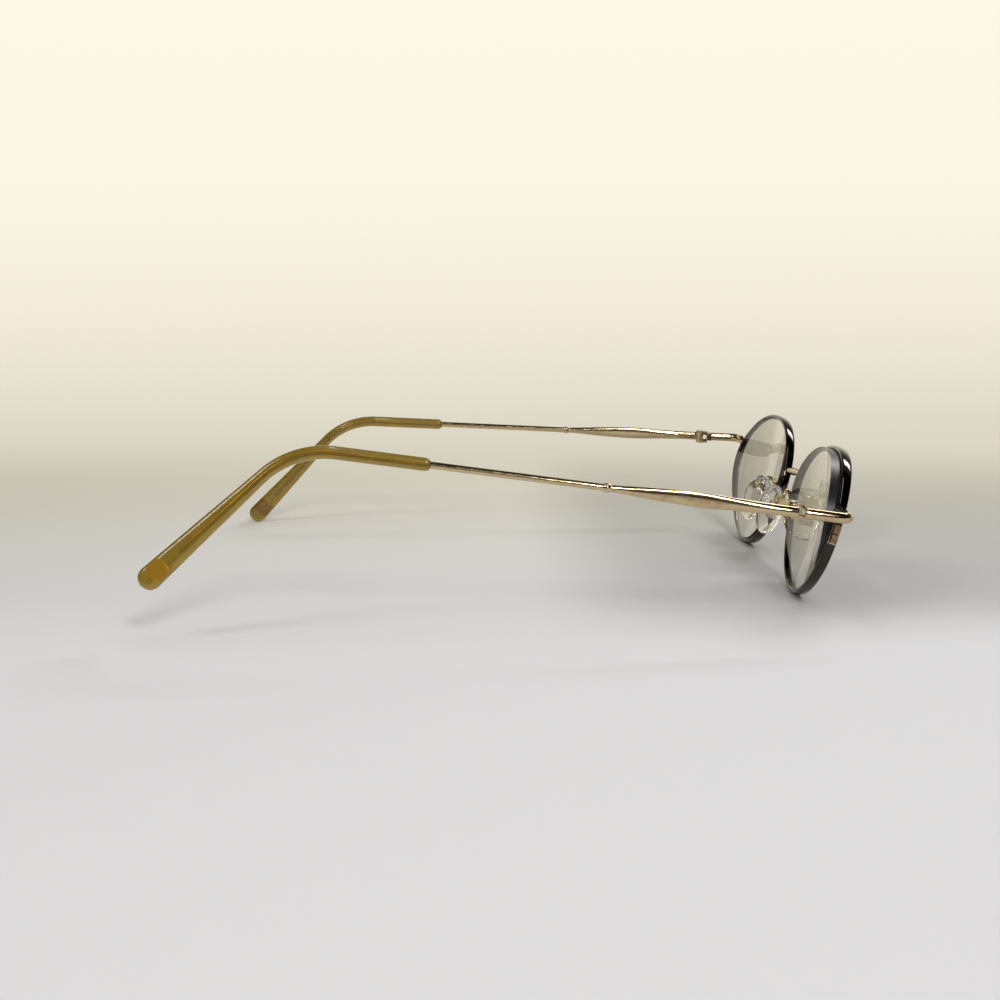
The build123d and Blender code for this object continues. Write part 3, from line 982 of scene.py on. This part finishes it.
def bar_lengths():
    """Gives the lengths from the hinge at which the temple bar has a ring."""
    rounds = [
        1 - math.cos(math.pi / 2 * step / BAR_END_RINGS) for step in range(BAR_END_RINGS + 1)
    ]
    lengths = [BAR_GAP / 2 + BAR_END_ROUND * share for share in rounds]
    lengths += [BUTT_MIDDLE, BUTT_LENGTH]
    lengths += [BUTT_LENGTH + SWELL_STEP * step for step in range(1, SWELL_RINGS + 1)]
    for step in range(BEAD_RINGS + 1):
        across = math.cos(math.pi * step / BEAD_RINGS)
        lengths.append(BEAD_AT - BEAD_REACH * BEAD_RADIUS * across)
    lengths += [BEAD_AT + RUN_STEP * step for step in range(1, RUN_RINGS + 1)]
    return [*lengths, TIP_START + RUN_OVERLAP]


class EYEGLASS_OT_temples(bpy.types.Operator):
    """Makes the temple bars, each with its swelling, bead, thin run and core wire"""

    bl_idname = "eyeglass.temples"
    bl_label = "Temple bars"

    def execute(self, context):
        for side in SIDES:
            place = temple_place(side)
            upright = place.to_3x3() @ Vector((0, 1, 0))
            lengths = bar_lengths()
            points = [place @ Vector((length, 0, 0)) for length in lengths]
            places = path_places(points, upright)
            shaped = []
            powers = []
            for length, spot in zip(lengths, places):
                high, wide = bar_radii(length)
                shaped.append(spot @ Matrix.Diagonal((high, wide, 1, 1)))
                share = min(max((length - BUTT_LENGTH) / (SWELL_END - BUTT_LENGTH), 0), 1)
                powers.append(2 + SWELL_FLATNESS * math.sin(math.pi * share) ** 2)
            core, along = tip_line(side, CORE_RINGS)
            core_end = along[-1] - CORE_SHORT
            core = [p for p, s in zip(core, along) if CORE_START < s < core_end]
            for spot in path_places(core, upright):
                shaped.append(spot @ Matrix.Diagonal((CORE_RADIUS, CORE_RADIUS, 1, 1)))
                powers.append(2)
            bm = bmesh.new()
            sweep(bm, ring_points(BAR_STEPS, 2), shaped, powers)
            finish_piece(
                bm,
                side,
                f"{side}_temple_wire",
                f"{side}_temple",
                [f"{side}_temple_bar"],
                [gold_plated()],
            )
        return {"FINISHED"}


class EYEGLASS_OT_tips(bpy.types.Operator):
    """Makes the plastic tips and the bare plaques on them"""

    bl_idname = "eyeglass.tips"
    bl_label = "Tips"

    def execute(self, context):
        for side in SIDES:
            points, lengths = tip_line(side, TIP_RINGS)
            whole = lengths[-1]
            taper_start = whole - TAIL_LENGTH
            upright = bend_place(side).to_3x3() @ Vector((0, 1, 0))
            shaped = []
            for length, spot in zip(lengths, path_places(points, upright)):
                half = TIP_HEIGHT / 2
                if length > taper_start:
                    share = min((length - taper_start) / (TAIL_LENGTH - PADDLE_RADIUS), 1)
                    half += share * (PADDLE_RADIUS - half)
                thick = TIP_THICKNESS / 2
                from_end = whole - length
                if from_end < PADDLE_RADIUS:
                    inside = max(PADDLE_RADIUS - from_end, 0)
                    half = math.sqrt(max(PADDLE_RADIUS**2 - inside**2, PADDLE_LEAST))
                if from_end < TIP_END_ROUND:
                    short = 1 - from_end / TIP_END_ROUND
                    thick *= math.sqrt(max(1 - short**2, TIP_END_LEAST))
                if length < TIP_FRONT_ROUND:
                    half = round_in(half, TIP_FRONT_ROUND, length)
                    thick = round_in(thick, TIP_ROUND, length)
                shaped.append(spot @ Matrix.Diagonal((half, thick, 1, 1)))
            bm = bmesh.new()
            sweep(bm, ring_points(TIP_STEPS, TIP_SQUARENESS), shaped)
            finish_piece(
                bm,
                side,
                f"{side}_tip_shown",
                f"{side}_temple",
                [f"{side}_temple_tip"],
                [amber_acetate()],
                sharp=60,
            )
            smooth_copy(
                f"{side}_tip_plaque",
                plaque_metal(),
                rounding=sizes()["small_round"] * MM,
            )
        return {"FINISHED"}


class EYEGLASS_OT_pads(bpy.types.Operator):
    """Makes the clear nose pads with stepped rings behind"""

    bl_idname = "eyeglass.pads"
    bl_label = "Nose pads"

    def execute(self, context):
        for side in SIDES:
            loops = [(inset, PAD_DOME) for inset in FACE_INSETS]
            for step in range(DOME_RINGS + 1):
                turn = math.pi / 2 * step / DOME_RINGS
                inset = PAD_DOME * (1 - math.sin(turn))
                loops.append((inset, PAD_DOME * math.cos(turn)))
            level = -PAD_EDGE
            loops += [(inset, level + rise) for inset, rise in BACK_ROUND]
            for ring in range(1, BACK_STEPS + 1):
                start = ring * STEP_INSET
                loops += [(start + inset, level + rise) for inset, rise in STEP_ROUND]
                level -= STEP_HEIGHT
            loops += [(inset, level) for inset in BACK_INSETS]
            place = pad_place()
            ring = ring_points(PAD_RING_STEPS, 2)
            shaped = []
            for inset, height in loops:
                spot = Matrix.Translation((0, 0, height))
                size = Matrix.Diagonal((PAD_WIDTH / 2 - inset, PAD_LENGTH / 2 - inset, 1, 1))
                shaped.append(place @ spot @ size)
            bm = bmesh.new()
            sweep(bm, ring, shaped)
            finish_piece(
                bm,
                side,
                f"{side}_pad_shown",
                f"{side}_pad",
                [f"{side}_nose_pad"],
                [clear_vinyl()],
                sharp=50,
            )
            smooth_copy(f"{side}_pad_plate", steel())
        return {"FINISHED"}


class EYEGLASS_OT_small_parts(bpy.types.Operator):
    """Makes the bridge, end pieces, arms, hinges, blocks, boxes and screws"""

    bl_idname = "eyeglass.small_parts"
    bl_label = "Small parts"

    def execute(self, context):
        rounding = sizes()["small_round"] * MM
        bars = [f"{side}_{name}" for side in SIDES for name in ("end_piece", "pad_arm")]
        for node in ("bridge", *bars):
            smooth_copy(node, gold_plated(), sharp=50)
        for side in SIDES:
            for name in ("upper_closing_block", "lower_closing_block"):
                node = f"{side}_{name}"
                smooth_copy(node, rubbed_plated(), rounding=rounding)
            for name in ("front_hinge", "temple_hinge", "pad_box"):
                node = f"{side}_{name}"
                smooth_copy(node, gold_plated(), rounding=rounding)
        for node in ("closing_screws", "hinge_screws", "pad_screws"):
            smooth_copy(node, steel())
        return {"FINISHED"}


def paper_sweep():
    """Matt paper, greyer under the pair and darker beside the front with painted shade, and
    warmer towards the wall.

    The far paper glows with its colour as written for the camera, through glass and in mirrors,
    a painted light; near the camera and up the wall, mirrors see a painted dark reflection on
    the paper, as a light box is dark on its open side.
    """
    material, tree, output = new_material("Matt paper sweep")
    parts = add_node(tree, "ShaderNodeSeparateXYZ", {}, {"Vector": object_place(tree)})
    reach = calculate(tree, "ADD", parts.outputs["X"], parts.outputs["Z"])
    stops = [(spot, linear(code)) for spot, code in PAPER_TONES]
    tone = tone_ramp(tree, spread(tree, reach, PAPER_RANGE), stops)
    shade = spread(tree, parts.outputs["Y"], SHADE_ACROSS, kind="SMOOTHSTEP")
    for ends in SHADE_ALONG:
        fade = spread(tree, reach, ends, kind="SMOOTHSTEP")
        shade = calculate(tree, "MULTIPLY", shade, fade)
    colour = add_node(
        tree,
        "ShaderNodeMix",
        {"data_type": "RGBA", "blend_type": "MULTIPLY", 7: (*PAPER_SHADE, 1)},
        {"Factor": shade, 6: tone},
    ).outputs[2]
    paper = add_node(
        tree,
        "ShaderNodeBsdfPrincipled",
        {"Roughness": 0.9, "Specular IOR Level": 0.1},
        {"Base Color": colour},
    )
    # Painted light: the far paper glows with its tone instead of being lit
    painted_glow = add_node(tree, "ShaderNodeEmission", {}, {"Color": colour})
    rays = add_node(tree, "ShaderNodeLightPath", {}, {}).outputs
    seen = calculate(tree, "ADD", rays["Is Camera Ray"], rays["Is Transmission Ray"])
    seen = calculate(tree, "ADD", seen, rays["Is Glossy Ray"], clamp=True)
    far = spread(tree, reach, GLOW_RANGE, kind="SMOOTHSTEP")
    far = calculate(tree, "MULTIPLY", far, seen)
    shown = mix_shaders(tree, far, paper, painted_glow)
    # Painted dark reflection: mirrors see this dark colour on the near paper and up the wall
    dark = add_node(tree, "ShaderNodeEmission", {"Color": (*linear("#2b2722"), 1)}, {})
    near = spread(tree, parts.outputs["X"], DARK_REFLECTION_NEAR)
    high = spread(tree, parts.outputs["Z"], DARK_REFLECTION_HIGH, (0.0, DARK_REFLECTION_MOST))
    near = calculate(tree, "MAXIMUM", near, high)
    glossy, passed = rays["Is Glossy Ray"], rays["Is Transmission Ray"]
    mirrored = calculate(tree, "SUBTRACT", glossy, passed, clamp=True)
    near = calculate(tree, "MULTIPLY", near, mirrored)
    whole = mix_shaders(tree, near, shown, dark)
    tree.links.new(whole.outputs[0], output.inputs["Surface"])
    return material


def dim_room():
    """A dim room, which lights softly and mirrors dark, and which past the paper looks pale."""
    world = bpy.data.worlds.new("Dim room")
    world.use_nodes = True
    tree = world.node_tree
    tree.nodes.clear()
    rays = add_node(tree, "ShaderNodeLightPath", {}, {}).outputs
    seen = calculate(tree, "ADD", rays["Is Camera Ray"], rays["Is Transmission Ray"], clamp=True)
    lights = []
    for code, strength in (("#b8b8b8", 0.4), ("#262320", 1.0), ("#dcdcde", 1.0)):
        settings = {"Color": (*linear(code), 1), "Strength": strength}
        lights.append(add_node(tree, "ShaderNodeBackground", settings, {}))
    soft, dark, pale = lights
    mixed = mix_shaders(tree, rays["Is Glossy Ray"], soft, dark)
    mixed = mix_shaders(tree, seen, mixed, pale)
    add_node(tree, "ShaderNodeOutputWorld", {}, {"Surface": mixed.outputs[0]})
    return world


class EYEGLASS_OT_stage(bpy.types.Operator):
    """Makes the pale paper sweep, the lamps and the camera"""

    bl_idname = "eyeglass.stage"
    bl_label = "Stage"

    def execute(self, context):
        bm = bmesh.new()
        bmesh.ops.create_grid(bm, x_segments=PAPER_SEGMENTS, y_segments=2, size=1.0)
        for vert in bm.verts:
            run = (vert.co.x + 1) / 2 * PAPER_LENGTH + PAPER_START
            turn = min(max(run - PAPER_BEND, 0) / PAPER_RADIUS, math.pi / 2)
            rise = max(run - PAPER_BEND - PAPER_RADIUS * math.pi / 2, 0)
            across = min(run, PAPER_BEND) + PAPER_RADIUS * math.sin(turn)
            up = PAPER_RADIUS * (1 - math.cos(turn)) + rise
            vert.co = Vector((across, vert.co.y * PAPER_HALF_WIDTH, up))
        bmesh.ops.recalc_face_normals(bm, faces=bm.faces)
        mesh = bpy.data.meshes.new("backdrop")
        bm.to_mesh(mesh)
        bm.free()
        for face in mesh.polygons:
            face.use_smooth = True
        backdrop = bpy.data.objects.new("backdrop", mesh)
        context.scene.collection.objects.link(backdrop)
        mesh.materials.append(paper_sweep())

        for name, spot, aim, size, power, colour, mirrored in LAMPS:
            data = bpy.data.lights.new(name, "AREA")
            data.shape = "RECTANGLE"
            data.size, data.size_y = size
            data.energy = power
            data.color = linear(colour)
            lamp = bpy.data.objects.new(name, data)
            lamp.location = spot
            lamp.rotation_euler = Vector(aim).to_track_quat("-Z", "Y").to_euler()
            lamp.visible_glossy = mirrored
            context.scene.collection.objects.link(lamp)
        context.scene.world = dim_room()

        data = bpy.data.cameras.new("camera")
        data.lens = CAMERA_LENS
        data.sensor_width = CAMERA_SENSOR
        camera = bpy.data.objects.new("camera", data)
        camera.location = CAMERA_SPOT
        camera.rotation_euler = [math.radians(turn) for turn in CAMERA_TURN]
        context.scene.collection.objects.link(camera)
        context.scene.camera = camera
        context.scene.view_settings.view_transform = "Standard"
        return {"FINISHED"}


class EYEGLASS_PT_panel(bpy.types.Panel):
    """Shows the colours, the sizes and a button for each group of pieces"""

    bl_idname = "EYEGLASS_PT_panel"
    bl_label = "Eyeglasses"
    bl_space_type = "VIEW_3D"
    bl_region_type = "UI"
    bl_category = "Eyeglasses"

    def draw(self, context):
        for name in ("plating", "worn", "rim", "tip", "plaque", "lens", "lens_edge", "pad"):
            self.layout.prop(context.scene.eyeglass_looks, name)
        for name in ("rim_round", "small_round", "wear_size"):
            self.layout.prop(context.scene.eyeglass_sizes, name)
        for operator in OPERATORS:
            self.layout.operator(operator.bl_idname)


OPERATORS = (
    EYEGLASS_OT_eyewires,
    EYEGLASS_OT_lenses,
    EYEGLASS_OT_temples,
    EYEGLASS_OT_tips,
    EYEGLASS_OT_pads,
    EYEGLASS_OT_small_parts,
    EYEGLASS_OT_stage,
)
CLASSES = (EyeglassLooks, EyeglassSizes, *OPERATORS, EYEGLASS_PT_panel)


def register():
    """Adds the classes and the scene's settings to Blender."""
    for item in CLASSES:
        bpy.utils.register_class(item)
    bpy.types.Scene.eyeglass_looks = PointerProperty(type=EyeglassLooks)
    bpy.types.Scene.eyeglass_sizes = PointerProperty(type=EyeglassSizes)


def unregister():
    """Takes the settings and the classes out again."""
    del bpy.types.Scene.eyeglass_sizes
    del bpy.types.Scene.eyeglass_looks
    for item in reversed(CLASSES):
        bpy.utils.unregister_class(item)


def main():
    """Builds every piece and the stage."""
    register()
    bpy.ops.eyeglass.eyewires()
    bpy.ops.eyeglass.lenses()
    bpy.ops.eyeglass.temples()
    bpy.ops.eyeglass.tips()
    bpy.ops.eyeglass.pads()
    bpy.ops.eyeglass.small_parts()
    bpy.ops.eyeglass.stage()


if __name__ == "__main__":
    main()
